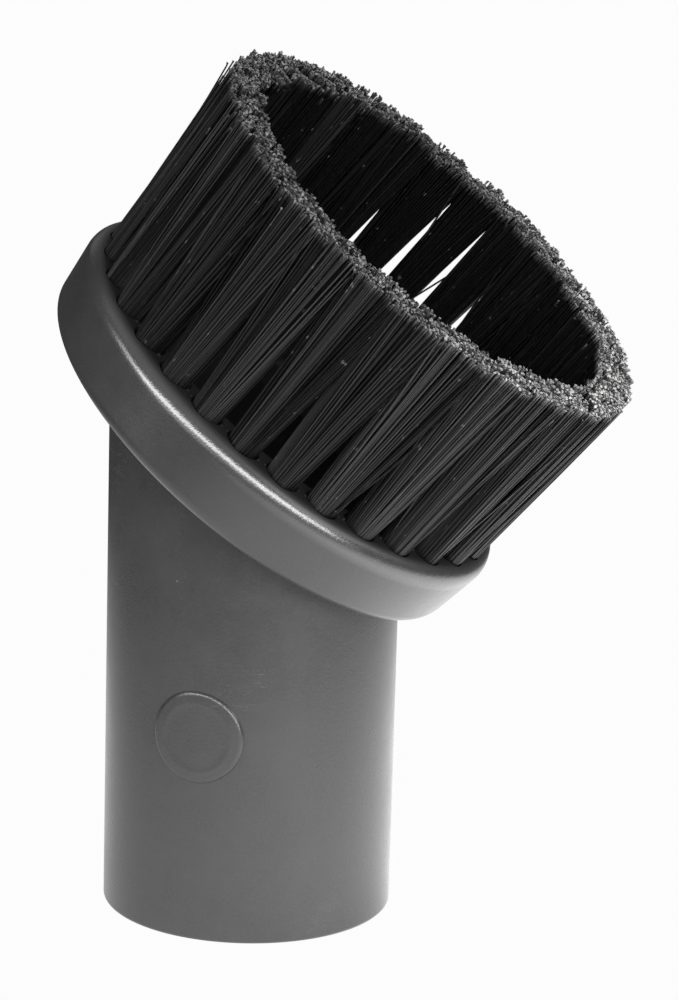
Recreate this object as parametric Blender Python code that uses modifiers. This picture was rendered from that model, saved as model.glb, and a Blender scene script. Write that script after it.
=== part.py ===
"""Round dusting brush for a vacuum cleaner.

One moulded body holds everything: a straight socket that pushes onto the
cleaner's tube, and a round head set across it at an angle. The head's face is
a ring with blind holes round a wide suction opening. In each hole sits one
tuft of filament, folded in half over a small flat metal anchor.

Units are metres, +Z is up, and the brush stands on the mouth of its socket.
The head leans towards +X. Its two sides are alike but for the roundel, which is
on the -Y side, and for the ring of holes, which starts a little off the middle.
"""

import math

import bmesh
import bpy
from mathutils import Matrix, Vector

MM = 0.001

# ---------------------------------------------------------------- dimensions
# Where the socket's axis stands, so that the whole part is centred on the origin.
SOCKET_X = -12.60 * MM

# Socket
SOCKET_R = 20.0 * MM  # outside radius
BORE_R_MOUTH = 17.65 * MM  # the bore tapers, for a push fit on a 35 mm tube
BORE_R_TOP = 17.25 * MM
MOUTH_ROUND = 0.6 * MM  # rounding of the socket's outer bottom edge
MOUTH_LEAD_IN = 0.7 * MM  # chamfer inside the mouth

# Head
TILT = math.radians(38.8)  # head axis from the socket axis, towards +X
FACE_X = 6.1 * MM  # centre of the head's face, from the socket axis
FACE_Z = 72.9 * MM
FACE_R = 34.95 * MM  # wall radius, carried on up to the face
WALL_TAPER = math.radians(7.6)  # the head narrows away from its face
HEAD_DEPTH = 11.05 * MM
RIM_ROUND = 2.4 * MM  # rounding between face and wall
EDGE_ROUND = 2.2 * MM  # rounding between wall and underside
FLOOR = 2.2 * MM  # floor under the suction opening
OPENING_R = 27.4 * MM  # suction opening in the face
OPENING_ROUND = 0.4 * MM
NECK_ROUND = 2.1 * MM  # fillet where the socket runs into the underside

# Roundel: a bare low disc that stands proud of the socket's side
ROUNDEL_R = 6.4 * MM
ROUNDEL_Z = 28.8 * MM
ROUNDEL_TURN = math.radians(-4.4)
ROUNDEL_HEIGHT = 0.35 * MM

# Tufts
TUFTS = 30
TUFT_TURN = math.radians(-3.1)  # where the ring of holes starts, from the lowest point
TUFT_RING_R = 30.7 * MM
HOLE_R = 2.4 * MM
HOLE_DEPTH = 8.0 * MM
GAP = 0.3 * MM  # all round a tuft in its hole, and round an anchor
TUFT_R = HOLE_R - GAP
TUFT_LENGTH = 29.3 * MM  # free length above the face
TIP_RING_R = 31.6 * MM  # middle of the ring that the tips make
TIP_HALF_RADIAL = 3.03 * MM
TIP_HALF_ACROSS = 3.12 * MM

# Anchors
ANCHOR_W = 2 * (HOLE_R - GAP)
ANCHOR_H = 1.4 * MM
ANCHOR_T = 0.35 * MM
ANCHOR_FROM_FACE = 5.9 * MM  # depth of the anchor's middle
ANCHORS = 29  # the last tuft's solid takes in its anchor

# Facets
SOCKET_SIDES = 64
HEAD_SIDES = 96
HOLE_SIDES = 16
TUFT_SIDES = 12

# ---------------------------------------------------------------- the scene
for old in list(bpy.data.objects):
    bpy.data.objects.remove(old, do_unlink=True)

brush = bpy.data.collections.new("vacuum_dusting_brush")
cutters = bpy.data.collections.new("cutters")
for collection in (brush, cutters):
    bpy.context.scene.collection.children.link(collection)
cutters.hide_render = True


def material(name, colour, roughness, metallic=0.0):
    mat = bpy.data.materials.new(name)
    mat.use_nodes = True
    surface = mat.node_tree.nodes["Principled BSDF"]
    surface.inputs["Base Color"].default_value = (*colour, 1.0)
    surface.inputs["Roughness"].default_value = roughness
    surface.inputs["Metallic"].default_value = metallic
    return mat


BODY_GREY = material("body_grey", (0.063, 0.063, 0.065), 0.42)
BRISTLE_BLACK = material("bristle_black", (0.010, 0.010, 0.0105), 0.38)
ANCHOR_STEEL = material("anchor_steel", (0.62, 0.60, 0.57), 0.32, 1.0)

# ---------------------------------------------------------------- placing
HEAD_PLACE = (
    Matrix.Translation((SOCKET_X + FACE_X, 0.0, FACE_Z))
    @ Matrix.Rotation(TILT, 4, "Y")
)
SOCKET_PLACE = Matrix.Translation((SOCKET_X, 0.0, 0.0))


def add(name, mesh, place, mat=None, smooth=40.0):
    """A finished piece goes in the brush's collection, a helper with no material in the cutters'."""
    obj = bpy.data.objects.new(name, mesh)
    obj.matrix_world = place
    if mat is None:
        cutters.objects.link(obj)
        obj.hide_render = True
        obj.display_type = "WIRE"
    else:
        brush.objects.link(obj)
        mesh.materials.append(mat)
        mesh.shade_smooth()
        if smooth:
            mesh.set_sharp_from_angle(angle=math.radians(smooth))
    return obj


def mesh_from(bm, name):
    mesh = bpy.data.meshes.new(name)
    bm.to_mesh(mesh)
    bm.free()
    return mesh


def turned(name, profile, sides, place, mat=None):
    """A profile of (radius, height) points, top to bottom on its outer side, turned about Z."""
    bm = bmesh.new()
    points = [bm.verts.new((r, 0.0, z)) for r, z in profile]
    for a, b in zip(points, points[1:]):
        bm.edges.new((a, b))
    obj = add(name, mesh_from(bm, name), place, mat)
    screw = obj.modifiers.new("Turn", "SCREW")
    screw.axis = "Z"
    screw.angle = math.tau
    screw.screw_offset = 0.0
    screw.steps = screw.render_steps = sides
    screw.use_merge_vertices = True
    screw.merge_threshold = 0.00001
    screw.use_smooth_shade = True
    return obj


def boolean(target, other, operation):
    modifier = target.modifiers.new(operation.title() + "_" + other.name, "BOOLEAN")
    modifier.operation = operation
    modifier.solver = "EXACT"
    modifier.object = other
    return modifier


def arc(centre, radius, start, end, count):
    """Points on an arc from one angle to the other, in degrees, as (radius, height)."""
    out = []
    for i in range(count + 1):
        a = math.radians(start + (end - start) * i / count)
        out.append(
            (centre[0] + radius * math.cos(a), centre[1] + radius * math.sin(a))
        )
    return out


def box(name, size, place):
    bm = bmesh.new()
    bmesh.ops.create_cube(bm, size=1.0)
    bmesh.ops.scale(bm, vec=size, verts=bm.verts)
    return add(name, mesh_from(bm, name), place)


# ---------------------------------------------------------------- the body
# The socket is turned long and cut off inside the head's floor.
socket_top = 112.0 * MM
socket_profile = [(0.0, socket_top), (SOCKET_R, socket_top)]
socket_profile += arc(
    (SOCKET_R - MOUTH_ROUND, MOUTH_ROUND), MOUTH_ROUND, 0.0, -90.0, 3
)
socket_profile += [(0.0, 0.0)]
body = turned("brush_body", socket_profile, SOCKET_SIDES, SOCKET_PLACE, BODY_GREY)

floor_middle = -(HEAD_DEPTH - 0.55 * FLOOR)
above_floor = box(
    "above_floor",
    (0.2, 0.2, 0.1),
    HEAD_PLACE @ Matrix.Translation((0.0, 0.0, floor_middle + 0.05)),
)
boolean(body, above_floor, "DIFFERENCE")

# The head, turned about its own axis.
taper_deg = math.degrees(WALL_TAPER)
rim_centre = (
    FACE_R - RIM_ROUND * math.tan(WALL_TAPER) - RIM_ROUND / math.cos(WALL_TAPER),
    -RIM_ROUND,
)
edge_height = -HEAD_DEPTH + EDGE_ROUND
edge_centre = (
    FACE_R + edge_height * math.tan(WALL_TAPER) - EDGE_ROUND / math.cos(WALL_TAPER),
    edge_height,
)
head_profile = [(0.0, 0.0)]
head_profile += arc(rim_centre, RIM_ROUND, 90.0, -taper_deg, 6)
head_profile += arc(edge_centre, EDGE_ROUND, -taper_deg, -90.0, 4)
head_profile += [(0.0, -HEAD_DEPTH)]
head = turned("head_blank", head_profile, HEAD_SIDES, HEAD_PLACE)
boolean(body, head, "UNION")


# The neck fillet: its section changes round the socket, because the underside
# meets the socket at a sharp angle on the low side and a wide one on the high side.
def neck_fillet():
    sink = 0.06 * MM
    steps = 5
    low = Vector((FACE_X, 0.0, FACE_Z)) + Matrix.Rotation(TILT, 3, "Y") @ Vector(
        (0.0, 0.0, -HEAD_DEPTH)
    )
    bm = bmesh.new()
    rings = []
    for i in range(SOCKET_SIDES):
        turn = math.tau * i / SOCKET_SIDES
        slope = -math.tan(TILT) * math.cos(turn)
        corner_z = low.z - math.tan(TILT) * (SOCKET_R * math.cos(turn) - low.x)
        along = Vector((1.0, slope)).normalized()  # outwards on the underside
        down = Vector((0.0, -1.0))
        corner = Vector((SOCKET_R - sink, corner_z + sink))
        half = 0.5 * math.acos(max(-1.0, min(1.0, along.dot(down))))
        reach = NECK_ROUND / math.tan(half)
        middle = (along + down).normalized() * (NECK_ROUND / math.sin(half)) + corner
        start = corner + down * reach
        end = corner + along * reach
        a0 = math.atan2(start.y - middle.y, start.x - middle.x)
        a1 = math.atan2(end.y - middle.y, end.x - middle.x)
        while a1 > a0:
            a1 -= math.tau
        section = [
            Vector(
                (
                    middle.x + NECK_ROUND * math.cos(a0 + (a1 - a0) * k / steps),
                    middle.y + NECK_ROUND * math.sin(a0 + (a1 - a0) * k / steps),
                )
            )
            for k in range(steps + 1)
        ]
        lift = Vector((0.0, 1.0 * MM))
        section.append(end + lift)
        section.append(Vector((SOCKET_R - 1.3 * MM, corner.y + 0.6 * MM)))
        section.append(Vector((SOCKET_R - 1.3 * MM, start.y)))
        rings.append(
            [
                bm.verts.new((p.x * math.cos(turn), p.x * math.sin(turn), p.y))
                for p in section
            ]
        )
    count = len(rings[0])
    for a, b in zip(rings, rings[1:] + rings[:1]):
        for k in range(count):
            m = (k + 1) % count
            bm.faces.new((a[k], a[m], b[m], b[k]))
    bmesh.ops.recalc_face_normals(bm, faces=bm.faces)
    return add("neck_fillet", mesh_from(bm, "neck_fillet"), SOCKET_PLACE)


boolean(body, neck_fillet(), "UNION")

# The suction opening, turned about the head's axis.
floor_top = -(HEAD_DEPTH - FLOOR)
opening_profile = [
    (0.0, 20.0 * MM),
    (OPENING_R + OPENING_ROUND, 20.0 * MM),
    (OPENING_R + OPENING_ROUND, 0.0),
]
opening_profile += arc(
    (OPENING_R + OPENING_ROUND, -OPENING_ROUND), OPENING_ROUND, 90.0, 180.0, 3
)[1:]
opening_profile += arc((OPENING_R - 1.2 * MM, floor_top + 1.2 * MM), 1.2 * MM, 0.0, -90.0, 3)
opening_profile += [(0.0, floor_top)]
opening = turned("opening_cutter", opening_profile, SOCKET_SIDES, HEAD_PLACE)
boolean(body, opening, "DIFFERENCE")

# The bore, cut off just above the head's floor so that it leaves the ring whole.
bore_profile = [
    (0.0, 100.0 * MM),
    (BORE_R_TOP, 100.0 * MM),
    (BORE_R_TOP, 48.0 * MM),
    (BORE_R_MOUTH, MOUTH_LEAD_IN),
    (BORE_R_MOUTH + MOUTH_LEAD_IN, 0.0),
    (BORE_R_MOUTH + MOUTH_LEAD_IN, -6.0 * MM),
    (0.0, -6.0 * MM),
]
bore = turned("bore_cutter", bore_profile, SOCKET_SIDES, SOCKET_PLACE)
above_bore = box(
    "above_bore",
    (0.2, 0.2, 0.1),
    HEAD_PLACE @ Matrix.Translation((0.0, 0.0, floor_top + 1.0 * MM + 0.05)),
)
boolean(bore, above_bore, "DIFFERENCE")
boolean(body, bore, "DIFFERENCE")

# The blind holes, in one cutter.
holes = bmesh.new()
for i in range(TUFTS):
    turn = TUFT_TURN + math.tau * i / TUFTS
    place = (
        Matrix.Rotation(turn, 4, "Z")
        @ Matrix.Translation((TUFT_RING_R, 0.0, (4.0 * MM - HOLE_DEPTH) / 2))
        @ Matrix.Rotation(math.pi / HOLE_SIDES, 4, "Z")
    )
    bmesh.ops.create_cone(
        holes,
        cap_ends=True,
        segments=HOLE_SIDES,
        radius1=HOLE_R,
        radius2=HOLE_R,
        depth=HOLE_DEPTH + 4.0 * MM,
        matrix=place,
    )
hole_cutter = add("hole_cutter", mesh_from(holes, "hole_cutter"), HEAD_PLACE)
boolean(body, hole_cutter, "DIFFERENCE")

# The roundel: a disc set into the socket's wall and cut back to a skin concentric
# with the socket.
disc = bmesh.new()
bmesh.ops.create_cone(
    disc,
    cap_ends=True,
    segments=40,
    radius1=ROUNDEL_R,
    radius2=ROUNDEL_R,
    depth=4.7 * MM,
    matrix=Matrix.Translation((0.0, -20.65 * MM, ROUNDEL_Z))
    @ Matrix.Rotation(math.pi / 2, 4, "X"),
)
roundel = add(
    "roundel_disc",
    mesh_from(disc, "roundel_disc"),
    SOCKET_PLACE @ Matrix.Rotation(ROUNDEL_TURN, 4, "Z"),
)
skin_r = SOCKET_R + ROUNDEL_HEIGHT
skin = turned(
    "roundel_skin",
    [
        (0.0, 60.0 * MM),
        (skin_r, 60.0 * MM),
        (skin_r, 5.0 * MM),
        (0.0, 5.0 * MM),
    ],
    SOCKET_SIDES,
    SOCKET_PLACE,
)
boolean(roundel, skin, "INTERSECT")
boolean(body, roundel, "UNION")


# ---------------------------------------------------------------- the tufts
def tuft_mesh():
    """One tuft along +Z from its hole's bottom, its ring's outward side at +X.

    Round in its hole, it opens outwards and sideways until it all but meets its
    neighbours, so its section is a loft from a circle to a soft square."""
    bottom = -(HOLE_DEPTH - GAP)
    stations = [
        (bottom, 0.78, 0.0, 0.0),
        (bottom + 0.5 * MM, 1.0, 0.0, 0.0),
        (0.0, 1.0, 0.0, 0.0),
        (0.28 * TUFT_LENGTH, 1.0, 0.24, 0.42),
        (0.62 * TUFT_LENGTH, 1.0, 0.60, 0.86),
        (TUFT_LENGTH, 1.0, 1.0, 1.0),
    ]
    bm = bmesh.new()
    rings = []
    for height, scale, out, across in stations:
        half_r = TUFT_R + (TIP_HALF_RADIAL - TUFT_R) * out
        half_t = TUFT_R + (TIP_HALF_ACROSS - TUFT_R) * across
        power = 1.0 - 0.16 * across
        centre = TUFT_RING_R + (TIP_RING_R - TUFT_RING_R) * out
        ring = []
        for k in range(TUFT_SIDES):
            a = math.tau * k / TUFT_SIDES
            c, s = math.cos(a), math.sin(a)
            x = math.copysign(abs(c) ** power, c) * half_r * scale
            y = math.copysign(abs(s) ** power, s) * half_t * scale
            # wider on the ring's outer side, where the tufts have more room
            y *= 1.0 + 0.045 * across * c
            ring.append(bm.verts.new((centre + x, y, height)))
        rings.append(ring)
    for a, b in zip(rings, rings[1:]):
        for k in range(TUFT_SIDES):
            m = (k + 1) % TUFT_SIDES
            bm.faces.new((a[k], a[m], b[m], b[k]))
    bm.faces.new(rings[0][::-1])
    bm.faces.new(rings[-1])
    return mesh_from(bm, "bristle_tuft")


tuft = tuft_mesh()
tuft.materials.append(BRISTLE_BLACK)
tuft.shade_smooth()
tuft.set_sharp_from_angle(angle=math.radians(40.0))

# The window between a tuft's two folded halves, where its anchor sits.
window = bmesh.new()
bmesh.ops.create_cube(window, size=1.0)
bmesh.ops.scale(
    window,
    vec=(ANCHOR_T + 2 * GAP, 4 * HOLE_R, ANCHOR_H + 2 * GAP),
    verts=window.verts,
)
bmesh.ops.translate(
    window, vec=(TUFT_RING_R, 0.0, -ANCHOR_FROM_FACE), verts=window.verts
)
window = mesh_from(window, "anchor_window")

# An anchor: a flat strip as wide as the hole, its lower edge notched to a shallow V
# where it drives the fold of the tuft down.
plate = bmesh.new()
outline = [
    (-0.5 * ANCHOR_W, 0.5 * ANCHOR_H),
    (-0.5 * ANCHOR_W, -0.28 * ANCHOR_H),
    (-0.34 * ANCHOR_W, -0.5 * ANCHOR_H),
    (0.34 * ANCHOR_W, -0.5 * ANCHOR_H),
    (0.5 * ANCHOR_W, -0.28 * ANCHOR_H),
    (0.5 * ANCHOR_W, 0.5 * ANCHOR_H),
]
outline = [
    (TUFT_RING_R - 0.5 * ANCHOR_T, y, z - ANCHOR_FROM_FACE) for y, z in outline
]
flat = plate.faces.new([plate.verts.new(p) for p in outline])
push = bmesh.ops.extrude_face_region(plate, geom=[flat])
bmesh.ops.translate(
    plate,
    vec=(ANCHOR_T, 0.0, 0.0),
    verts=[v for v in push["geom"] if isinstance(v, bmesh.types.BMVert)],
)
bmesh.ops.recalc_face_normals(plate, faces=plate.faces)
plate = mesh_from(plate, "tuft_anchor")
plate.materials.append(ANCHOR_STEEL)

for i in range(TUFTS):
    place = HEAD_PLACE @ Matrix.Rotation(TUFT_TURN + math.tau * i / TUFTS, 4, "Z")
    number = f"{i + 1:02d}"
    piece = bpy.data.objects.new("bristle_tuft_" + number, tuft)
    piece.matrix_world = place
    brush.objects.link(piece)
    if i < ANCHORS:
        cutter = bpy.data.objects.new("anchor_window_" + number, window)
        cutter.matrix_world = place
        cutter.hide_render = True
        cutter.display_type = "WIRE"
        cutters.objects.link(cutter)
        boolean(piece, cutter, "DIFFERENCE")
        anchor = bpy.data.objects.new("tuft_anchor_" + number, plate)
        anchor.matrix_world = place
        brush.objects.link(anchor)
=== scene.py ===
import math
import random

import bmesh
import bpy
import numpy as np
from mathutils import Matrix, Vector


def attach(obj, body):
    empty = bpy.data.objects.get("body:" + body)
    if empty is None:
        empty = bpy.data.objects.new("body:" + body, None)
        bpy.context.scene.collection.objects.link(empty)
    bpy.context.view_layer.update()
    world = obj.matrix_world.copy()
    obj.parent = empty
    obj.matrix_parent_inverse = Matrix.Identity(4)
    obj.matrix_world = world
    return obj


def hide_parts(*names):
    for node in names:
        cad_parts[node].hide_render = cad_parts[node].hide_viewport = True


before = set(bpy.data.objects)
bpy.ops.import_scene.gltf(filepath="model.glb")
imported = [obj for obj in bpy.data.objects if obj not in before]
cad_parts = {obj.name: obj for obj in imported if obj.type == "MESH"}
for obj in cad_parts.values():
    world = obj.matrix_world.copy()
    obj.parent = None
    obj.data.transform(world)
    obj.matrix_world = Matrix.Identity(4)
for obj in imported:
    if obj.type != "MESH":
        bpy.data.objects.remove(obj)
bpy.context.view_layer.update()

MM = 0.001

# ---------------------------------------------------------------- dimensions
# The same numbers as the CAD model, in metres.
SOCKET_X = -12.60 * MM
SOCKET_R = 20.0 * MM
BORE_R_MOUTH = 17.65 * MM
BORE_R_TOP = 17.25 * MM
MOUTH_ROUND = 0.6 * MM
MOUTH_LEAD_IN = 0.7 * MM

TILT = math.radians(38.8)
FACE_X = 6.1 * MM
FACE_Z = 72.9 * MM
FACE_R = 34.95 * MM
WALL_TAPER = math.radians(7.6)
HEAD_DEPTH = 11.05 * MM
RIM_ROUND = 2.4 * MM
EDGE_ROUND = 2.2 * MM
FLOOR = 2.2 * MM
OPENING_R = 27.4 * MM
OPENING_ROUND = 0.4 * MM
NECK_ROUND = 2.1 * MM

ROUNDEL_R = 6.4 * MM
ROUNDEL_Z = 28.8 * MM
ROUNDEL_TURN = math.radians(-4.4)
ROUNDEL_HEIGHT = 0.35 * MM

TUFTS = 30
TUFT_TURN = math.radians(-3.1)
TUFT_RING_R = 30.7 * MM
HOLE_R = 2.4 * MM
HOLE_DEPTH = 8.0 * MM
TUFT_R = 2.1 * MM
TUFT_LENGTH = 29.3 * MM
ANCHORS = 29

# What only the looks need
HOLE_MOUTH = 0.22 * MM  # small chamfer at each hole's mouth
FILAMENT_R = 0.148 * MM
BUNDLE_R = 2.33 * MM  # the loose filaments fill the hole's mouth
TIP_INNER_R = 28.45 * MM
TIP_OUTER_R = 34.6 * MM
TIP_SHIFT_X = -0.39 * MM  # the ring of tips leans a little off the head's axis

SOCKET_SIDES = 224
HEAD_SIDES = 288
HOLE_SIDES = 36

HEAD_PLACE = (
    Matrix.Translation((SOCKET_X + FACE_X, 0.0, FACE_Z))
    @ Matrix.Rotation(TILT, 4, "Y")
)
SOCKET_PLACE = Matrix.Translation((SOCKET_X, 0.0, 0.0))

scene = bpy.context.scene


# ---------------------------------------------------------------- small helpers
def link(obj):
    scene.collection.objects.link(obj)
    return obj


def mesh_from(bm, name):
    mesh = bpy.data.meshes.new(name)
    bm.to_mesh(mesh)
    bm.free()
    return mesh


def arc(centre, radius, start, end, count):
    out = []
    for i in range(count + 1):
        a = math.radians(start + (end - start) * i / count)
        out.append((centre[0] + radius * math.cos(a), centre[1] + radius * math.sin(a)))
    return out


def turned(name, profile, sides, place):
    """A closed solid from (radius, height) points, top to bottom, ending on the axis at both ends."""
    bm = bmesh.new()
    rings = []
    for r, z in profile:
        if r < 1e-9:
            rings.append([bm.verts.new((0.0, 0.0, z))])
        else:
            rings.append([
                bm.verts.new((r * math.cos(math.tau * i / sides), r * math.sin(math.tau * i / sides), z))
                for i in range(sides)
            ])
    for a, b in zip(rings, rings[1:]):
        for i in range(sides):
            j = (i + 1) % sides
            if len(a) == 1 and len(b) == 1:
                continue
            if len(a) == 1:
                bm.faces.new((a[0], b[i], b[j]))
            elif len(b) == 1:
                bm.faces.new((a[i], b[0], a[j]))
            else:
                bm.faces.new((a[i], b[i], b[j], a[j]))
    bmesh.ops.recalc_face_normals(bm, faces=bm.faces)
    obj = link(bpy.data.objects.new(name, mesh_from(bm, name)))
    obj.matrix_world = place
    return obj


def box(name, size, place):
    bm = bmesh.new()
    bmesh.ops.create_cube(bm, size=1.0)
    bmesh.ops.scale(bm, vec=size, verts=bm.verts)
    obj = link(bpy.data.objects.new(name, mesh_from(bm, name)))
    obj.matrix_world = place
    return obj


def boolean(target, other, operation):
    modifier = target.modifiers.new(operation.title() + "_" + other.name, "BOOLEAN")
    modifier.operation = operation
    modifier.solver = "MANIFOLD"
    modifier.object = other


def evaluated(obj, name):
    """The object's mesh with its modifiers applied, in world space."""
    bpy.context.view_layer.update()
    mesh = bpy.data.meshes.new_from_object(obj.evaluated_get(bpy.context.evaluated_depsgraph_get()))
    mesh.name = name
    mesh.transform(obj.matrix_world)
    return mesh


# ---------------------------------------------------------------- materials
class Shader:
    """A short way to write a node tree."""

    def __init__(self, name):
        self.mat = bpy.data.materials.new(name)
        self.mat.use_nodes = True
        self.tree = self.mat.node_tree
        self.surface = self.tree.nodes["Principled BSDF"]
        self.coords = self.tree.nodes.new("ShaderNodeTexCoord").outputs["Object"]

    def put(self, socket, value):
        if isinstance(value, bpy.types.NodeSocket):
            self.tree.links.new(value, socket)
        else:
            socket.default_value = value

    def mapped(self, scale, turn=(0.0, 0.0, 0.0), vector=None, shift=(0.0, 0.0, 0.0)):
        node = self.tree.nodes.new("ShaderNodeMapping")
        node.inputs["Location"].default_value = shift
        self.put(node.inputs["Vector"], self.coords if vector is None else vector)
        node.inputs["Scale"].default_value = scale
        node.inputs["Rotation"].default_value = turn
        return node.outputs["Vector"]

    def noise(self, scale, detail=2.0, rough=0.5, vector=None, distortion=0.0):
        node = self.tree.nodes.new("ShaderNodeTexNoise")
        self.put(node.inputs["Vector"], self.coords if vector is None else vector)
        node.inputs["Scale"].default_value = scale
        node.inputs["Detail"].default_value = detail
        node.inputs["Roughness"].default_value = rough
        node.inputs["Distortion"].default_value = distortion
        return node.outputs["Fac"]

    def cells(self, scale, vector=None, feature="F1", output="Distance", spread=1.0):
        node = self.tree.nodes.new("ShaderNodeTexVoronoi")
        node.feature = feature
        self.put(node.inputs["Vector"], self.coords if vector is None else vector)
        node.inputs["Scale"].default_value = scale
        node.inputs["Randomness"].default_value = spread
        return node.outputs[output]

    def remap(self, value, a, b, c, d, smooth=False):
        node = self.tree.nodes.new("ShaderNodeMapRange")
        node.interpolation_type = "SMOOTHSTEP" if smooth else "LINEAR"
        self.put(node.inputs["Value"], value)
        for key, x in zip(("From Min", "From Max", "To Min", "To Max"), (a, b, c, d)):
            self.put(node.inputs[key], x)
        return node.outputs["Result"]

    def math(self, operation, a, b=0.0):
        node = self.tree.nodes.new("ShaderNodeMath")
        node.operation = operation
        self.put(node.inputs[0], a)
        self.put(node.inputs[1], b)
        return node.outputs[0]

    def mix(self, factor, a, b):
        node = self.tree.nodes.new("ShaderNodeMix")
        node.data_type = "RGBA"
        self.put(node.inputs["Factor"], factor)
        self.put(node.inputs["A"], (*a, 1.0) if isinstance(a, tuple) else a)
        self.put(node.inputs["B"], (*b, 1.0) if isinstance(b, tuple) else b)
        return node.outputs["Result"]

    def from_axis(self, vector):
        """How far a point is from the Z axis, and its height on it."""
        parts = self.tree.nodes.new("ShaderNodeSeparateXYZ")
        self.put(parts.inputs[0], vector)
        x, y, z = parts.outputs
        away = self.math("SQRT", self.math("ADD", self.math("MULTIPLY", x, x), self.math("MULTIPLY", y, y)))
        return away, z

    def bump(self, height, strength, distance, normal=None):
        node = self.tree.nodes.new("ShaderNodeBump")
        node.inputs["Strength"].default_value = strength
        node.inputs["Distance"].default_value = distance
        self.put(node.inputs["Height"], height)
        if normal is not None:
            self.put(node.inputs["Normal"], normal)
        return node.outputs["Normal"]

    def attribute(self, name):
        node = self.tree.nodes.new("ShaderNodeAttribute")
        node.attribute_name = name
        return node.outputs["Fac"]


def body_plastic():
    """Moulded grey plastic with a fine spark-eroded grain, faint handling marks and a little dust."""
    s = Shader("body_grey_grained")
    broad = s.noise(70.0, 3.0, 0.55)
    mottle = s.noise(420.0, 3.0, 0.6)
    grain = s.noise(3300.0, 2.0, 0.55)
    tone = s.math("ADD", s.remap(broad, 0.3, 0.7, -0.10, 0.10), s.remap(mottle, 0.25, 0.75, -0.07, 0.07))
    tone = s.math("ADD", tone, s.remap(grain, 0.25, 0.75, -0.16, 0.16))
    tone = s.remap(tone, -0.4, 0.4, 0.0, 1.0)
    colour = s.mix(tone, (0.023, 0.023, 0.0235), (0.041, 0.041, 0.0415))
    # pale dust, one small speck in a few of the cells
    dust_at = s.cells(340.0)
    dust_pick = s.noise(37.0, 2.0, 0.5)
    dust = s.math("MULTIPLY", s.remap(dust_at, 0.030, 0.055, 1.0, 0.0), s.remap(dust_pick, 0.60, 0.68, 0.0, 1.0))
    colour = s.mix(s.math("MULTIPLY", dust, 0.5), colour, (0.36, 0.36, 0.35))
    # painted shade: the air's way through the head and the top of the bore are painted near black, rougher and less
    # glossy, for the shade inside them
    origin = Matrix.Rotation(-TILT, 3, "Y") @ Vector((SOCKET_X + FACE_X, 0.0, FACE_Z))
    away, height = s.from_axis(s.mapped((1.0, 1.0, 1.0), (0.0, -TILT, 0.0), shift=-origin))
    painted_shade = s.math("MULTIPLY", s.remap(away, OPENING_R + 0.1 * MM, OPENING_R + 0.6 * MM, 1.0, 0.0), s.remap(height, -0.6 * MM, -0.1 * MM, 1.0, 0.0))
    painted_shade = s.math("MULTIPLY", painted_shade, s.remap(height, FLOOR - HEAD_DEPTH - 0.7 * MM, FLOOR - HEAD_DEPTH - 0.3 * MM, 0.0, 1.0))
    # the rim is worn smooth; painted shade: the face of the head round and between the tufts, up to the rim's
    # rounding, is painted darker, rougher and less glossy
    rim = s.math("MULTIPLY", s.remap(away, 33.4 * MM, 34.1 * MM, 0.0, 1.0), s.remap(height, -3.4 * MM, -2.2 * MM, 0.0, 1.0))
    dull = s.math("MULTIPLY", s.remap(away, 32.8 * MM, 34.1 * MM, 0.95, 0.0), s.remap(height, -1.2 * MM, -0.6 * MM, 0.0, 1.0))
    away, height = s.from_axis(s.mapped((1.0, 1.0, 1.0), shift=(-SOCKET_X, 0.0, 0.0)))
    # painted shade: the top of the bore, darker going up
    bore_shade = s.math("MULTIPLY", s.remap(away, 17.9 * MM, 18.3 * MM, 1.0, 0.0), s.remap(height, 25.0 * MM, 60.0 * MM, 0.0, 1.0))
    painted_shade = s.math("MAXIMUM", s.math("MAXIMUM", painted_shade, bore_shade), dull)
    # painted shade: these masks mix the colour toward near black
    colour = s.mix(painted_shade, colour, (0.009, 0.009, 0.009))
    s.put(s.surface.inputs["Base Color"], colour)
    s.put(s.surface.inputs["Specular IOR Level"], s.math("ADD", s.remap(painted_shade, 0.0, 1.0, 0.5, 0.12), s.math("MULTIPLY", rim, 0.5)))
    rough = s.math("ADD", s.remap(broad, 0.3, 0.7, 0.25, 0.31), s.remap(mottle, 0.25, 0.75, -0.02, 0.02))
    rough = s.math("MULTIPLY", rough, s.remap(rim, 0.0, 1.0, 1.0, 0.92))
    s.put(s.surface.inputs["Roughness"], s.math("ADD", rough, s.math("MULTIPLY", painted_shade, 0.3)))
    s.surface.inputs["IOR"].default_value = 1.56
    # the grain, and a few fine scratches
    scratch_at = s.noise(1.0, 1.0, 0.4, vector=s.mapped((90.0, 90.0, 3200.0), (0.5, 0.35, 0.2)))
    scratch = s.remap(s.math("ABSOLUTE", s.math("SUBTRACT", scratch_at, 0.5)), 0.0, 0.006, 1.0, 0.0)
    scratch = s.math("MULTIPLY", scratch, s.remap(s.noise(55.0, 2.0, 0.5), 0.56, 0.66, 0.0, 1.0))
    normal = s.bump(grain, 0.42, 0.00006)
    normal = s.bump(mottle, 0.16, 0.00010, normal)
    normal = s.bump(scratch, 0.35, 0.00003, normal)
    s.put(s.surface.inputs["Normal"], normal)
    return s.mat


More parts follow.
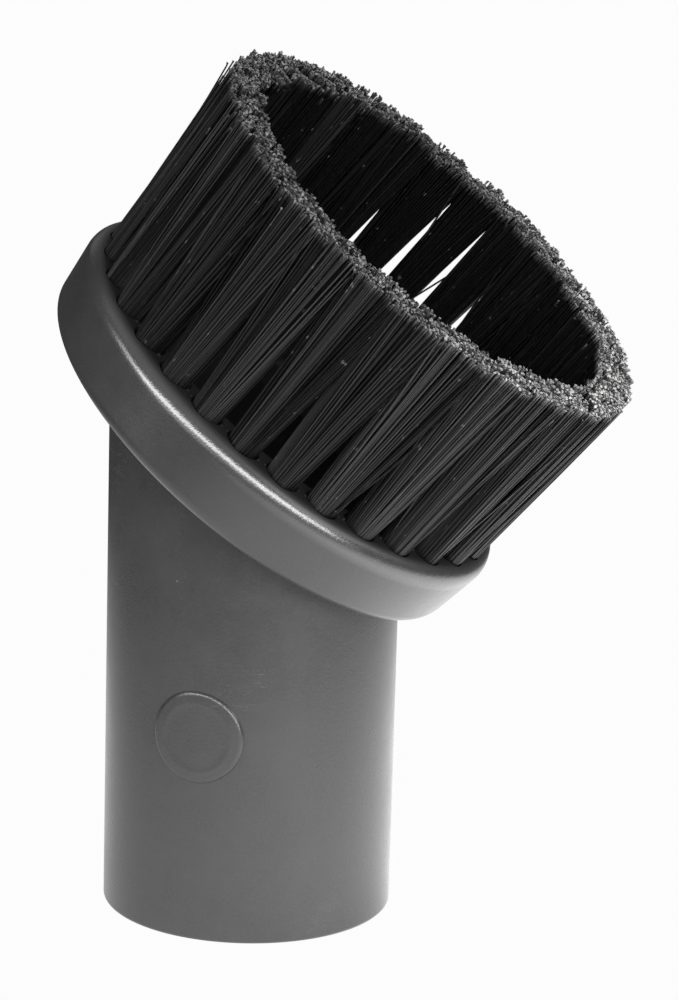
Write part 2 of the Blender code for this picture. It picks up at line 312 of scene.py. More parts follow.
def bristle_side():
    """Drawn black filament: each one its own shade, with faint drawing lines along it."""
    s = Shader("bristle_black_filament")
    tone = s.attribute("tone")
    turn = (0.0, -TILT, 0.0)
    along = s.noise(1.0, 2.0, 0.5, vector=s.mapped((2600.0, 2600.0, 120.0), turn))
    value = s.math("ADD", s.math("MULTIPLY", tone, 0.75), s.remap(along, 0.3, 0.7, 0.0, 0.25))
    colour = s.mix(value, (0.0035, 0.0035, 0.0037), (0.013, 0.013, 0.0134))
    scuffed = s.noise(3800.0, 2.0, 0.6)
    # painted light: the scuff near the tips is also paler towards the right end of the ring
    scuff_and_light = s.math("MULTIPLY", s.attribute("wear_and_light"), s.remap(scuffed, 0.3, 0.7, 0.15, 1.0))
    colour = s.mix(scuff_and_light, colour, (0.24, 0.24, 0.24))
    dust_pick = s.noise(900.0, 1.0, 0.5)
    dust = s.remap(dust_pick, 0.735, 0.76, 0.0, 1.0)
    colour = s.mix(s.math("MULTIPLY", dust, 0.25), colour, (0.22, 0.22, 0.22))
    s.put(s.surface.inputs["Base Color"], colour)
    s.put(s.surface.inputs["Roughness"], s.remap(tone, 0.0, 1.0, 0.27, 0.42))
    s.surface.inputs["IOR"].default_value = 1.49
    s.put(s.surface.inputs["Specular IOR Level"], s.remap(tone, 0.0, 0.7, 0.12, 0.52))
    s.put(s.surface.inputs["Normal"], s.bump(along, 0.12, 0.00002))
    return s.mat


def bristle_cut():
    """The sheared end of a filament: dull and paler than its side."""
    s = Shader("bristle_black_cut_end")
    tone = s.attribute("tone")
    speck = s.noise(5200.0, 2.0, 0.6)
    value = s.math("ADD", s.math("MULTIPLY", tone, 0.8), s.remap(speck, 0.3, 0.7, 0.0, 0.2))
    colour = s.mix(value, (0.26, 0.26, 0.26), (0.80, 0.80, 0.79))
    # painted light: the cut ends are darker towards the left end of the ring and paler towards the right
    colour = s.mix(s.attribute("wear_and_light"), (0.0, 0.0, 0.0), colour)
    s.put(s.surface.inputs["Base Color"], colour)
    s.put(s.surface.inputs["Roughness"], s.remap(speck, 0.3, 0.7, 0.55, 0.8))
    s.put(s.surface.inputs["Normal"], s.bump(speck, 0.2, 0.00003))
    return s.mat


def anchor_steel():
    """Flat drawn strip, with fine lines along its width."""
    s = Shader("anchor_steel_drawn")
    lines = s.noise(1.0, 3.0, 0.6, vector=s.mapped((400.0, 400.0, 9000.0), (0.0, -TILT, 0.0)))
    broad = s.noise(900.0, 2.0, 0.5)
    s.put(s.surface.inputs["Base Color"], s.mix(s.remap(broad, 0.3, 0.7, 0.0, 1.0), (0.50, 0.485, 0.46), (0.66, 0.64, 0.61)))
    s.surface.inputs["Metallic"].default_value = 1.0
    s.put(s.surface.inputs["Roughness"], s.remap(lines, 0.3, 0.7, 0.26, 0.46))
    s.put(s.surface.inputs["Normal"], s.bump(lines, 0.3, 0.00002))
    return s.mat


BODY = body_plastic()
SIDE = bristle_side()
CUT = bristle_cut()
STEEL = anchor_steel()


# ---------------------------------------------------------------- the body
def neck_fillet():
    """The fillet's section changes round the socket, because the underside meets
    the socket at a sharp angle on the low side and a wide one on the high side."""
    sink = 0.05 * MM
    steps = 12
    low = Vector((FACE_X, 0.0, FACE_Z)) + Matrix.Rotation(TILT, 3, "Y") @ Vector((0.0, 0.0, -HEAD_DEPTH))
    bm = bmesh.new()
    rings = []
    for i in range(SOCKET_SIDES):
        turn = math.tau * i / SOCKET_SIDES
        slope = -math.tan(TILT) * math.cos(turn)
        corner_z = low.z - math.tan(TILT) * (SOCKET_R * math.cos(turn) - low.x)
        along = Vector((1.0, slope)).normalized()
        down = Vector((0.0, -1.0))
        corner = Vector((SOCKET_R - sink, corner_z + sink))
        half = 0.5 * math.acos(max(-1.0, min(1.0, along.dot(down))))
        reach = NECK_ROUND / math.tan(half)
        middle = (along + down).normalized() * (NECK_ROUND / math.sin(half)) + corner
        start = corner + down * reach
        end = corner + along * reach
        a0 = math.atan2(start.y - middle.y, start.x - middle.x)
        a1 = math.atan2(end.y - middle.y, end.x - middle.x)
        while a1 > a0:
            a1 -= math.tau
        section = [
            Vector((
                middle.x + NECK_ROUND * math.cos(a0 + (a1 - a0) * k / steps),
                middle.y + NECK_ROUND * math.sin(a0 + (a1 - a0) * k / steps),
            ))
            for k in range(steps + 1)
        ]
        section.append(end + Vector((0.0, 1.0 * MM)))
        section.append(Vector((SOCKET_R - 1.3 * MM, corner.y + 0.6 * MM)))
        section.append(Vector((SOCKET_R - 1.3 * MM, start.y)))
        rings.append([bm.verts.new((p.x * math.cos(turn), p.x * math.sin(turn), p.y)) for p in section])
    count = len(rings[0])
    for a, b in zip(rings, rings[1:] + rings[:1]):
        for k in range(count):
            m = (k + 1) % count
            bm.faces.new((a[k], a[m], b[m], b[k]))
    bmesh.ops.recalc_face_normals(bm, faces=bm.faces)
    obj = link(bpy.data.objects.new("neck_fillet", mesh_from(bm, "neck_fillet")))
    obj.matrix_world = SOCKET_PLACE
    return obj


def roundel():
    """A low disc a little flatter than the socket, its edge eased, with a plain faint ring on it."""
    sides = 120
    flatter = 25.0 * MM
    steps = [
        (0.0, 0.0), (1.2, 0.0), (2.4, 0.0), (3.6, 0.0), (4.50, 0.0), (4.64, -0.02), (4.78, -0.03), (4.94, -0.03),
        (5.08, -0.02), (5.22, 0.0), (5.78, 0.0), (5.94, 0.015), (6.08, 0.055), (6.20, 0.12), (6.31, 0.21),
        (6.40, 0.32), (6.46, 0.45),
    ]
    bm = bmesh.new()
    rings = []
    for r, drop in steps:
        r *= MM
        ring = []
        for i in range(sides if r > 0 else 1):
            a = math.tau * i / sides
            u, v = r * math.cos(a), r * math.sin(a)
            out = SOCKET_R + ROUNDEL_HEIGHT - flatter + math.sqrt(flatter * flatter - u * u) - drop * MM
            if drop > 0.3:
                out = min(out, math.sqrt(SOCKET_R ** 2 - u * u) - (drop - 0.35) * MM)
            ring.append(bm.verts.new((u, -out, ROUNDEL_Z + v)))
        rings.append(ring)
    rings.append([bm.verts.new((vert.co.x, -math.sqrt(SOCKET_R ** 2 - vert.co.x ** 2) + 1.0 * MM, vert.co.z)) for vert in rings[-1]])
    for a, b in zip(rings, rings[1:]):
        for i in range(sides):
            j = (i + 1) % sides
            if len(a) == 1:
                bm.faces.new((a[0], b[i], b[j]))
            else:
                bm.faces.new((a[i], b[i], b[j], a[j]))
    centre = bm.verts.new((0.0, -SOCKET_R + 1.1 * MM, ROUNDEL_Z))
    for i in range(sides):
        bm.faces.new((rings[-1][i], centre, rings[-1][(i + 1) % sides]))
    bmesh.ops.recalc_face_normals(bm, faces=bm.faces)
    obj = link(bpy.data.objects.new("roundel", mesh_from(bm, "roundel")))
    obj.matrix_world = SOCKET_PLACE @ Matrix.Rotation(ROUNDEL_TURN, 4, "Z")
    return obj


def entry_marks():
    """Where each anchor was driven in, its two ends raised a small burr at the hole's mouth."""
    rng = random.Random(411)
    bm = bmesh.new()
    for i in range(TUFTS):
        turn = TUFT_TURN + math.tau * i / TUFTS
        for side in (-1.0, 1.0):
            size = rng.uniform(0.8, 1.15)
            place = (
                Matrix.Rotation(turn, 4, "Z")
                @ Matrix.Translation((
                    TUFT_RING_R + rng.gauss(0.0, 0.12) * MM,
                    side * (HOLE_R + HOLE_MOUTH + rng.uniform(0.02, 0.14) * MM),
                    -0.02 * MM,
                ))
                @ Matrix.Rotation(rng.uniform(-0.5, 0.5), 4, "Z")
                @ Matrix.Diagonal((0.34 * size * MM, 0.27 * size * MM, 0.24 * size * MM, 1.0))
            )
            bmesh.ops.create_icosphere(bm, subdivisions=2, radius=1.0, matrix=place)
    bmesh.ops.recalc_face_normals(bm, faces=bm.faces)
    obj = link(bpy.data.objects.new("entry_marks", mesh_from(bm, "entry_marks")))
    obj.matrix_world = HEAD_PLACE
    return obj


def body():
    made = []
    profile = [(0.0, 112.0 * MM), (SOCKET_R, 112.0 * MM)]
    profile += arc((SOCKET_R - MOUTH_ROUND, MOUTH_ROUND), MOUTH_ROUND, 0.0, -90.0, 8)
    profile += [(0.0, 0.0)]
    base = turned("socket_blank", profile, SOCKET_SIDES, SOCKET_PLACE)
    made.append(base)

    def use(obj, operation, target=base):
        made.append(obj)
        boolean(target, obj, operation)
        return obj

    use(box("above_floor", (0.2, 0.2, 0.1), HEAD_PLACE @ Matrix.Translation((0.0, 0.0, -(HEAD_DEPTH - 0.55 * FLOOR) + 0.05))), "DIFFERENCE")

    taper_deg = math.degrees(WALL_TAPER)
    rim_centre = (FACE_R - RIM_ROUND * math.tan(WALL_TAPER) - RIM_ROUND / math.cos(WALL_TAPER), -RIM_ROUND)
    edge_height = -HEAD_DEPTH + EDGE_ROUND
    edge_centre = (FACE_R + edge_height * math.tan(WALL_TAPER) - EDGE_ROUND / math.cos(WALL_TAPER), edge_height)
    profile = [(0.0, 0.0)]
    profile += arc(rim_centre, RIM_ROUND, 90.0, -taper_deg, 18)
    profile += arc(edge_centre, EDGE_ROUND, -taper_deg, -90.0, 12)
    profile += [(0.0, -HEAD_DEPTH)]
    use(turned("head_blank", profile, HEAD_SIDES, HEAD_PLACE), "UNION")
    use(neck_fillet(), "UNION")

    floor_top = -(HEAD_DEPTH - FLOOR)
    lip = OPENING_R + OPENING_ROUND
    profile = [(0.0, 20.0 * MM), (lip, 20.0 * MM), (lip, 0.02 * MM)]
    profile += arc((lip, -OPENING_ROUND), OPENING_ROUND, 90.0, 180.0, 8)
    profile += arc((OPENING_R - 1.2 * MM, floor_top + 1.2 * MM), 1.2 * MM, 0.0, -90.0, 8)
    profile += [(0.0, floor_top)]
    use(turned("opening_cutter", profile, SOCKET_SIDES, HEAD_PLACE), "DIFFERENCE")

    profile = [
        (0.0, 100.0 * MM), (BORE_R_TOP, 100.0 * MM), (BORE_R_TOP, 48.0 * MM),
        (BORE_R_MOUTH, MOUTH_LEAD_IN), (BORE_R_MOUTH + MOUTH_LEAD_IN, 0.0),
        (BORE_R_MOUTH + MOUTH_LEAD_IN, -6.0 * MM), (0.0, -6.0 * MM),
    ]
    bore = turned("bore_cutter", profile, SOCKET_SIDES, SOCKET_PLACE)
    use(box("above_bore", (0.2, 0.2, 0.1), HEAD_PLACE @ Matrix.Translation((0.0, 0.0, floor_top + 1.0 * MM + 0.05))), "DIFFERENCE", bore)
    use(bore, "DIFFERENCE")

    holes = bmesh.new()
    for i in range(TUFTS):
        turn = Matrix.Rotation(TUFT_TURN + math.tau * i / TUFTS, 4, "Z") @ Matrix.Translation((TUFT_RING_R, 0.0, 0.0))
        rings = []
        for r, z in ((HOLE_R + HOLE_MOUTH, 3.0 * MM), (HOLE_R + HOLE_MOUTH, 0.01 * MM), (HOLE_R, -HOLE_MOUTH), (HOLE_R, -HOLE_DEPTH)):
            rings.append([
                holes.verts.new(turn @ Vector((r * math.cos(math.tau * (k + 0.5) / HOLE_SIDES), r * math.sin(math.tau * (k + 0.5) / HOLE_SIDES), z)))
                for k in range(HOLE_SIDES)
            ])
        for a, b in zip(rings, rings[1:]):
            for k in range(HOLE_SIDES):
                m = (k + 1) % HOLE_SIDES
                holes.faces.new((a[k], b[k], b[m], a[m]))
        holes.faces.new(rings[0])
        holes.faces.new(rings[-1][::-1])
    bmesh.ops.recalc_face_normals(holes, faces=holes.faces)
    cutter = link(bpy.data.objects.new("hole_cutter", mesh_from(holes, "hole_cutter")))
    cutter.matrix_world = HEAD_PLACE
    use(entry_marks(), "UNION")
    use(cutter, "DIFFERENCE")
    use(roundel(), "UNION")

    mesh = evaluated(base, "brush_body_moulding")
    for obj in made:
        bpy.data.objects.remove(obj, do_unlink=True)
    bm = bmesh.new()
    bm.from_mesh(mesh)
    bmesh.ops.remove_doubles(bm, verts=bm.verts, dist=0.0000005)
    # keep the moulding and drop any sliver that the cuts left loose
    todo = set(bm.verts)
    loose = []
    while todo:
        island = {todo.pop()}
        front = list(island)
        while front:
            for edge in front.pop().link_edges:
                for vert in edge.verts:
                    if vert not in island:
                        island.add(vert)
                        front.append(vert)
        todo -= island
        if len(island) < 400:
            loose.extend(island)
    bmesh.ops.delete(bm, geom=loose, context="VERTS")
    bm.to_mesh(mesh)
    bm.free()
    mesh.materials.clear()
    mesh.materials.append(BODY)
    mesh.shade_smooth()
    mesh.set_sharp_from_angle(angle=math.radians(32.0))
    obj = link(bpy.data.objects.new("brush_body_moulding", mesh))
    weigh = obj.modifiers.new("Normals", "WEIGHTED_NORMAL")
    weigh.mode = "FACE_AREA"
    weigh.keep_sharp = True
    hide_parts("brush_body")
    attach(obj, "root")
    return obj


body()


# ---------------------------------------------------------------- the tufts
def packed_points(radius, spacing, rng):
    """Points of a slightly loose hexagonal packing inside a circle."""
    turn = rng.uniform(0.0, math.tau)
    ox, oy = rng.uniform(-0.5, 0.5) * spacing, rng.uniform(-0.5, 0.5) * spacing
    out = []
    n = int(radius / spacing) + 3
    for row in range(-n, n + 1):
        for col in range(-n, n + 1):
            x = (col + 0.5 * (row % 2)) * spacing + ox
            y = row * spacing * math.sqrt(3.0) / 2 + oy
            x, y = x * math.cos(turn) - y * math.sin(turn), x * math.sin(turn) + y * math.cos(turn)
            x += rng.gauss(0.0, 0.012 * MM)
            y += rng.gauss(0.0, 0.012 * MM)
            if math.hypot(x, y) <= radius:
                out.append((x, y))
    return out


def to_square(x, y):
    """A point of the unit disc, moved to the unit square with the same spread."""
    r = math.hypot(x, y)
    phi = math.atan2(y, x)
    if phi < -math.pi / 4:
        phi += math.tau
    if phi < math.pi / 4:
        return r, phi * r / (math.pi / 4)
    if phi < 3 * math.pi / 4:
        return -(phi - math.pi / 2) * r / (math.pi / 4), r
    if phi < 5 * math.pi / 4:
        return -r, -(phi - math.pi) * r / (math.pi / 4)
    return (phi - 3 * math.pi / 2) * r / (math.pi / 4), -r


SIDES = 5
LEVELS = [0.0, 0.14, 0.34, 0.58, 0.82, 0.962, 0.986, 1.0]  # shares of the free length
WEAR = [0.0, 0.0, 0.0, 0.0, 0.0, 0.0, 0.55, 1.0]  # how scuffed the filament is there

# The height in mm at which each gap between one tuft and the next has closed.
# Those on the far side that still show light through them are the open ones.
CLOSE_RNG = random.Random(77)
CLOSED_AT = [CLOSE_RNG.uniform(13.0, 18.0) for _ in range(TUFTS)]
for g in (3, 4, 5, 11, 12, 13, 14):
    CLOSED_AT[g] = 10.5
for g, height in ((6, 24.3), (7, 28.3), (8, 26.0), (9, 19.1), (10, 12.0)):
    CLOSED_AT[g] = height


# Filaments that stand clear of their tuft towards the tip: out along the radius, along the
# ring, and longer, in mm.
STRAYS = {
    15: ((0.45, -0.8, 0.6), (0.75, 0.6, -0.7)),
    16: ((0.6, 0.5, 0.2), (0.95, -1.0, -1.2)),
    17: ((0.5, 0.8, 0.3),),
    9: ((0.4, -0.4, 0.4),),
    23: ((0.5, 1.2, 0.4),),
}
# Filaments of a far tuft that lie across the slit beside it: where along the ring, in mm, at the base and the tip.
ACROSS = {8: ((0.6, -8.0), (-0.5, 3.2)), 6: ((0.4, 3.6),)}


def spread(u, straight):
    """How much of its way out a filament has gone at this share of its length."""
    return straight * u + (1.0 - straight) * u * u


def reach(height, straight):
    """How far along the ring a tuft's tips must reach for its gap to close at this height, in metres."""
    u = height * MM / TUFT_LENGTH
    return BUNDLE_R + (0.90 * MM + 0.09 * MM * u) / spread(u, straight)


def far_lean(degrees):
    """The far tufts lean a little along the ring."""
    off = (degrees - 95.0 + 180.0) % 360.0 - 180.0
    return -0.052 * math.exp(-((off / 42.0) ** 2))


def tuft(index):
    """One tuft: separate closed filaments, packed in the hole and fanned out to their tips."""
    rng = random.Random(8100 + 37 * index)
    centre_turn = TUFT_TURN + math.tau * index / TUFTS
    place = HEAD_PLACE @ Matrix.Rotation(centre_turn, 4, "Z")
    ca, sa = math.cos(centre_turn), math.sin(centre_turn)
    # the tufts beside the open slits flare late
    curved = 0.5 if index in (6, 7, 8, 9, 10) else 1.0
    reach_up = reach(CLOSED_AT[index], curved)
    reach_down = reach(CLOSED_AT[index - 1], curved)

    lean_t = rng.gauss(0.0, 0.004) + far_lean(math.degrees(centre_turn))
    lean_r = rng.gauss(0.0, 0.14 * MM)
    longer = rng.gauss(0.0, 0.09 * MM)
    clumps = [(rng.uniform(-1.0, 1.0), rng.uniform(-1.0, 1.0), rng.gauss(0.0, 0.22)) for _ in range(16)]
    points = packed_points(BUNDLE_R - FILAMENT_R, 0.262 * MM, rng)
    strays, across = STRAYS.get(index, ()), ACROSS.get(index, ())

    verts, faces, mats, tones, wear_and_light_values = [], [], [], [], []
    start = 0
    for count, (bx, by) in enumerate(points):
        ux, uy = bx / BUNDLE_R, by / BUNDLE_R
        qx, qy = to_square(min(1.0, ux * 1.05), min(1.0, uy * 1.05))
        # between a disc and the whole sector that belongs to this tuft
        qx, qy = 0.56 * qx + 0.44 * ux, 0.80 * qy + 0.20 * uy
        # filaments gather in loose clumps
        clump = min(clumps, key=lambda c: (c[0] - qx) ** 2 + (c[1] - qy) ** 2)
        if index not in (7, 8, 9):
            qx += 0.26 * (clump[0] - qx)
            qy += 0.26 * (clump[1] - qy) * (1.0 - abs(qy))
        kind = rng.random()
        wander = 0.11 * MM if kind > 0.02 else 0.6 * MM
        tip_r = 0.5 * (TIP_INNER_R + TIP_OUTER_R) + 0.5 * (TIP_OUTER_R - TIP_INNER_R) * qx
        tip_r += lean_r + rng.gauss(0.0, 0.7 * wander) + 0.6 * MM * clump[2]
        along = qy * (reach_up if qy > 0.0 else reach_down)
        tip_a = (along + rng.gauss(0.0, wander)) / (0.5 * (TIP_INNER_R + TIP_OUTER_R)) + lean_t
        edge = qy * qy
        # back to this tuft's own axes, with the whole ring of tips a little off centre
        tx = tip_r * math.cos(tip_a) + TIP_SHIFT_X * ca
        ty = tip_r * math.sin(tip_a) - TIP_SHIFT_X * sa
        gx = tx * ca - ty * sa
        gy = tx * sa + ty * ca
        length = TUFT_LENGTH + 0.05 * MM - 0.008 * gx + 0.0128 * gy + longer - 0.5 * MM * edge
        length += max(-0.35 * MM, min(0.35 * MM, rng.gauss(0.0, 0.12 * MM)))
        length += max(-0.5 * MM, min(0.3 * MM, 0.9 * MM * clump[2]))  # a clump is cut as one
        if rng.random() < 0.035:
            length -= rng.uniform(0.6, 2.4) * MM
        x0, y0 = TUFT_RING_R + bx, by

        bow_a = rng.uniform(0.0, math.tau)
        bow = rng.gauss(0.0, 0.07 * MM) if kind > 0.025 else rng.gauss(0.0, 0.5 * MM)
        bow2 = rng.gauss(0.0, 0.03 * MM)
        bow2_a = rng.uniform(0.0, math.tau)
        straight_r, straight_t = 0.92 + rng.gauss(0.0, 0.025), curved + rng.gauss(0.0, 0.025)
        out_r, out_t = 0.0, 0.0
        if count < len(strays):
            # a filament that stands clear of the tuft
            out_r, out_t, more = strays[count]
            x0 = TUFT_RING_R + (BUNDLE_R - FILAMENT_R) * 0.86
            y0 = (BUNDLE_R - FILAMENT_R) * 0.4 * out_t
            tx = TIP_OUTER_R
            ty = out_t * 1.6 * MM
            length = TUFT_LENGTH + more * MM
            bow = 0.0
        elif count - len(strays) < len(across):
            y0, ty = (value * MM for value in across[count - len(strays)])
            x0 = TUFT_RING_R - 0.5 * BUNDLE_R
            tx = TIP_INNER_R + 0.5 * MM
            straight_t = 1.0
            bow = 0.0

        # down in the hole the filaments pass on either side of the anchor
        bx, by = x0 - TUFT_RING_R, y0
        aside = 0.0
        if abs(bx) < 0.46 * MM:
            aside = math.copysign(0.46 * MM - abs(bx), bx if bx else 1.0)
        snug = (TUFT_R - FILAMENT_R) / (BUNDLE_R - FILAMENT_R)
        line = [
            (TUFT_RING_R + snug * bx + aside, snug * by, -HOLE_DEPTH + 0.35 * MM + rng.uniform(0.0, 0.25) * MM),
            (TUFT_RING_R + snug * bx + aside, snug * by, -4.4 * MM),
        ]
        for u in LEVELS:
            x = x0 + (tx - x0) * spread(u, straight_r)
            y = y0 + (ty - y0) * spread(u, straight_t)
            x += out_r * MM * max(0.0, (u - 0.35) / 0.65) ** 1.6
            s1, s2 = math.sin(math.pi * u), math.sin(math.tau * u)
            x += bow * s1 * math.cos(bow_a) + bow2 * s2 * math.cos(bow2_a)
            y += bow * s1 * math.sin(bow_a) + bow2 * s2 * math.sin(bow2_a)
            line.append((x, y, length * u))
        # the sheared end is a little bent
        x, y, z = line[-1]
        line[-1] = (x + rng.gauss(0.0, 0.08) * MM, y + rng.gauss(0.0, 0.08) * MM, z)
        radius = FILAMENT_R * (0.8 if out_r else 1.0 + rng.gauss(0.0, 0.04))
        phase = rng.uniform(0.0, math.tau)
        # painted shade: the filaments on the inner side of each tuft, towards the middle of the ring, get a darker
        # tone
        tone = min(1.0, max(0.0, rng.gauss(0.42, 0.16) + clump[2] - (0.45 if ux < -0.45 else 0.0)))
        last = len(line) - 1
        skew_x, skew_y = rng.gauss(0.0, 0.3), rng.gauss(0.0, 0.3)
        head = 1.28 + abs(rng.gauss(0.12, 0.14))
        for k, (x, y, z) in enumerate(line):
            r = radius * (head if k == last else 1.0)
            for j in range(SIDES):
                a = phase + math.tau * j / SIDES
                cx, cy = r * math.cos(a), r * math.sin(a)
                dz = cx * skew_x + cy * skew_y if k == last else 0.0
                verts.append((x + cx, y + cy, z + dz))
        for k in range(last):
            for j in range(SIDES):
                m = (j + 1) % SIDES
                a = start + k * SIDES
                b = a + SIDES
                faces.append((a + j, a + m, b + m, b + j))
                mats.append(0)
        faces.append(tuple(start + j for j in range(SIDES))[::-1])
        mats.append(0)
        faces.append(tuple(start + last * SIDES + j for j in range(SIDES)))
        mats.append(1)
        tones.extend([tone] * (SIDES * (last + 1)))
        # painted light: the scuffed tips and the cut ends are paler towards the low side of the head, on the right of
        # the ring of tips, and darker towards the other side, as if lit from the right
        pale = 0.26 + 0.74 * max(0.0, min(1.0, 0.5 + gx / (2.0 * TIP_OUTER_R))) ** 3
        for value in [0.0, 0.0] + WEAR:
            wear_and_light_values.extend([value * pale] * SIDES)
        start += SIDES * (last + 1)

    number = f"{index + 1:02d}"
    name = "bristles_" + number
    mesh = bpy.data.meshes.new(name)
    mesh.from_pydata(verts, [], faces)
    mesh.transform(place)
    mesh.materials.append(SIDE)
    mesh.materials.append(CUT)
    mesh.polygons.foreach_set("material_index", np.array(mats, np.int32))
    smooth = np.ones(len(faces), bool)
    smooth[np.array(mats) == 1] = False
    mesh.polygons.foreach_set("use_smooth", smooth)
    layer = mesh.attributes.new("tone", "FLOAT", "POINT")
    layer.data.foreach_set("value", np.array(tones, np.float32))
    layer = mesh.attributes.new("wear_and_light", "FLOAT", "POINT")
    layer.data.foreach_set("value", np.array(wear_and_light_values, np.float32))
    mesh.set_sharp_from_angle(angle=math.radians(75.0))
    mesh.update()
    obj = link(bpy.data.objects.new(name, mesh))
    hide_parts("bristle_tuft_" + number)
    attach(obj, "root")


for i in range(TUFTS):
    tuft(i)

for i in range(ANCHORS):
    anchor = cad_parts[f"tuft_anchor_{i + 1:02d}"]
    if anchor.material_slots:
        for slot in anchor.material_slots:
            slot.material = STEEL
    else:
        anchor.data.materials.append(STEEL)


# ---------------------------------------------------------------- floor and light
def on_line(tree, kind, **values):
    made = tree.nodes.new(kind)
    for key, value in values.items():
        setattr(made, key, value)
    return made


def ranged(tree, value, a, b, c, d):
    made = on_line(tree, "ShaderNodeMapRange", interpolation_type="SMOOTHSTEP")
    tree.links.new(value, made.inputs["Value"])
    for key, x in zip(("From Min", "From Max", "To Min", "To Max"), (a, b, c, d)):
        made.inputs[key].default_value = x
    return made.outputs["Result"]


def combined(tree, operation, a, b):
    made = on_line(tree, "ShaderNodeMath", operation=operation)
    for socket, value in zip(made.inputs, (a, b)):
        if isinstance(value, bpy.types.NodeSocket):
            tree.links.new(value, socket)
        else:
            socket.default_value = value
    return made.outputs[0]


def floor():
    """A plain white floor. What it throws up at the object is brightest close by, at the back and the right."""
    bm = bmesh.new()
    bmesh.ops.create_circle(bm, cap_ends=True, segments=96, radius=3.0)
    obj = link(bpy.data.objects.new("floor", mesh_from(bm, "floor")))
    mat = bpy.data.materials.new("floor_white")
    mat.use_nodes = True
    tree = mat.node_tree
    tree.nodes.clear()
    coords = on_line(tree, "ShaderNodeTexCoord").outputs["Object"]
    flat = on_line(tree, "ShaderNodeVectorMath", operation="LENGTH")
    tree.links.new(coords, flat.inputs[0])
    away = flat.outputs["Value"]
    unit = on_line(tree, "ShaderNodeVectorMath", operation="NORMALIZE")
    tree.links.new(coords, unit.inputs[0])
    toward = on_line(tree, "ShaderNodeVectorMath", operation="DOT_PRODUCT")
    tree.links.new(unit.outputs[0], toward.inputs[0])
    toward.inputs[1].default_value = (math.cos(FLOOR_TURN), math.sin(FLOOR_TURN), 0.0)
    around = combined(tree, "MULTIPLY", toward.outputs["Value"], FLOOR_SWING)
    around = combined(tree, "MULTIPLY", around, ranged(tree, away, 0.0, 0.03, 0.0, 1.0))
    level = combined(tree, "ADD", around, FLOOR_NEAR)
    level = combined(tree, "MULTIPLY", level, ranged(tree, away, 0.06, 0.25, 1.0, FLOOR_FAR))
    thrown = on_line(tree, "ShaderNodeEmission")
    tree.links.new(level, thrown.inputs["Strength"])
    seen = on_line(tree, "ShaderNodeEmission")
    seen.inputs["Strength"].default_value = 0.975
    mix = on_line(tree, "ShaderNodeMixShader")
    tree.links.new(on_line(tree, "ShaderNodeLightPath").outputs["Is Camera Ray"], mix.inputs[0])
    tree.links.new(thrown.outputs[0], mix.inputs[1])
    tree.links.new(seen.outputs[0], mix.inputs[2])
    tree.links.new(mix.outputs[0], on_line(tree, "ShaderNodeOutputMaterial").inputs[0])
    obj.data.materials.append(mat)


FLOOR_TURN = math.radians(15.0)
FLOOR_NEAR = 1.66
FLOOR_SWING = 0.66
FLOOR_FAR = 0.04
floor()

world = bpy.data.worlds.new("studio")
scene.world = world
world.use_nodes = True
tree = world.node_tree
tree.nodes.clear()
AMBIENT = 0.03
light = on_line(tree, "ShaderNodeBackground")
light.inputs["Strength"].default_value = AMBIENT
seen = on_line(tree, "ShaderNodeBackground")
seen.inputs["Strength"].default_value = 0.975
for shade in (light, seen):
    shade.inputs["Color"].default_value = (1.0, 1.0, 1.0, 1.0)
mix = on_line(tree, "ShaderNodeMixShader")
tree.links.new(on_line(tree, "ShaderNodeLightPath").outputs["Is Camera Ray"], mix.inputs[0])
tree.links.new(light.outputs[0], mix.inputs[1])
tree.links.new(seen.outputs[0], mix.inputs[2])
tree.links.new(mix.outputs[0], on_line(tree, "ShaderNodeOutputWorld").inputs[0])


def softbox(name, turn, up, wide, high, level):
    """A soft light seen from the object at this azimuth and elevation, this many degrees wide and high.
    Azimuth 270 is in front of the object, 0 on its right."""
    distance = 1.3
    a, e = math.radians(turn), math.radians(up)
    d = Vector((math.cos(a) * math.cos(e), math.sin(a) * math.cos(e), math.sin(e)))
    data = bpy.data.lights.new(name, "AREA")
    data.shape = "RECTANGLE"
    data.size = 2.0 * distance * math.tan(math.radians(wide / 2.0))
    data.size_y = 2.0 * distance * math.tan(math.radians(high / 2.0))
    data.energy = level * math.pi * data.size * data.size_y
    obj = link(bpy.data.objects.new(name, data))
    obj.location = Vector((0.0, 0.0, 0.06)) + d * distance
    obj.rotation_euler = d.to_track_quat("Z", "Y").to_euler()
    obj.visible_camera = False
    return obj


def strip(name, start, end, across, level):
    """A long narrow light overhead, from one azimuth and elevation to another and this many degrees across."""
    ends = []
    for turn, up in (start, end):
        a, e = math.radians(turn), math.radians(up)
        ends.append(Vector((math.cos(a) * math.cos(e), math.sin(a) * math.cos(e), math.sin(e))))
    obj = softbox(name, 0.0, 0.0, math.degrees(ends[0].angle(ends[1])), across, level)
    d = (ends[0] + ends[1]).normalized()
    x = (ends[1] - ends[0]).normalized()
    obj.location = Vector((0.0, 0.0, 0.06)) + d * 1.3
    obj.rotation_euler = Matrix((x, d.cross(x), d)).transposed().to_euler()


softbox("front_left", 240.0, 5.0, 50.0, 16.0, 1.3)
softbox("front_right", 300.0, 5.0, 45.0, 16.0, 1.7)
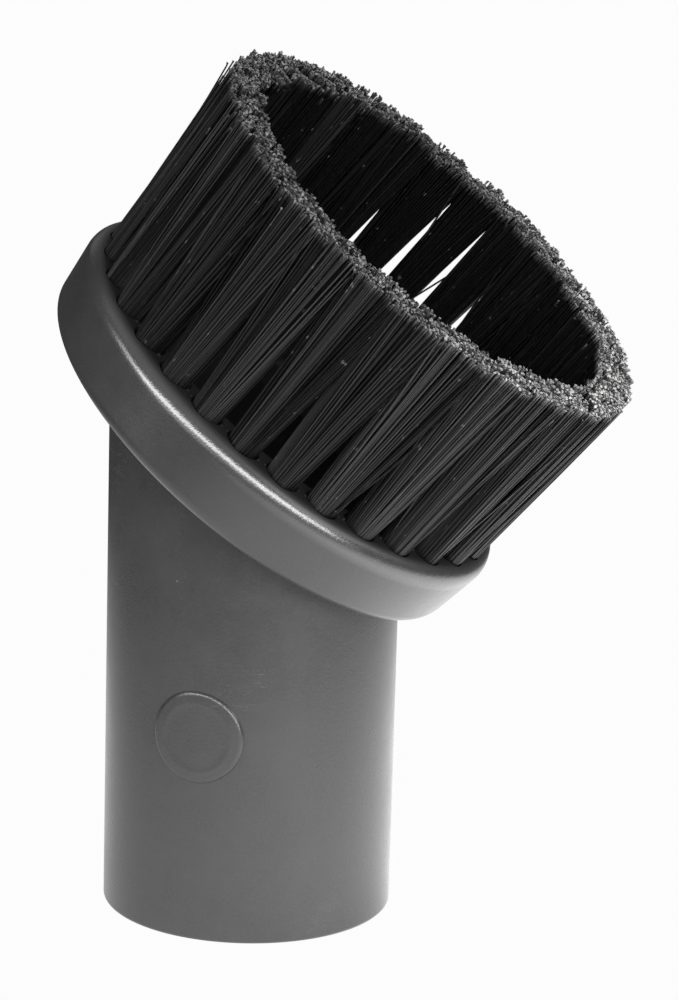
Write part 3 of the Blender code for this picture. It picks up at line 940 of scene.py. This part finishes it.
# the edge of the head's rim mirrors these three
strip("edge_left", (203.0, 40.0), (224.0, 22.0), 12.0, 4.5)
strip("edge", (222.0, 22.0), (262.0, 23.0), 16.0, 10.5)
strip("edge_right", (262.0, 23.0), (340.0, 1.0), 16.0, 10.5)
softbox("right", 5.0, 28.0, 50.0, 30.0, 2.4)
softbox("overhead", 300.0, 80.0, 70.0, 70.0, 0.35)
softbox("behind", 80.0, 30.0, 90.0, 24.0, 0.25)

# ---------------------------------------------------------------- the camera
# Placed by fitting the socket, the head and the ring of tips in the photograph.
ELEVATION = math.radians(13.642)
AZIMUTH = math.radians(16.395)
ROLL = math.radians(1.272)
DISTANCE = 0.5
FOCAL_PX = 3663.0
OFF_X, OFF_Y = 83.57, 21.57  # from the lens axis to the middle of the frame, in pixels of the photograph

aim = Vector((SOCKET_X, 0.0, 0.060))
eye = aim + DISTANCE * Vector((
    math.sin(AZIMUTH) * math.cos(ELEVATION),
    -math.cos(AZIMUTH) * math.cos(ELEVATION),
    math.sin(ELEVATION),
))
forward = (aim - eye).normalized()
right_0 = forward.cross(Vector((0.0, 0.0, 1.0))).normalized()
up_0 = right_0.cross(forward)
right_1 = math.cos(ROLL) * right_0 + math.sin(ROLL) * up_0
up_1 = -math.sin(ROLL) * right_0 + math.cos(ROLL) * up_0
forward = (forward * FOCAL_PX + right_1 * OFF_X - up_1 * OFF_Y).normalized()
right_1 = (right_1 - forward * right_1.dot(forward)).normalized()
up_1 = right_1.cross(forward)

camera_data = bpy.data.cameras.new("camera")
camera_data.sensor_width = 36.0
camera_data.lens = FOCAL_PX / 1000.0 * 36.0
camera_data.clip_start = 0.01
camera_data.clip_end = 20.0
camera = link(bpy.data.objects.new("camera", camera_data))
camera.matrix_world = Matrix((
    (right_1.x, up_1.x, -forward.x, eye.x),
    (right_1.y, up_1.y, -forward.y, eye.y),
    (right_1.z, up_1.z, -forward.z, eye.z),
    (0.0, 0.0, 0.0, 1.0),
))
scene.camera = camera
scene.view_settings.view_transform = "Standard"
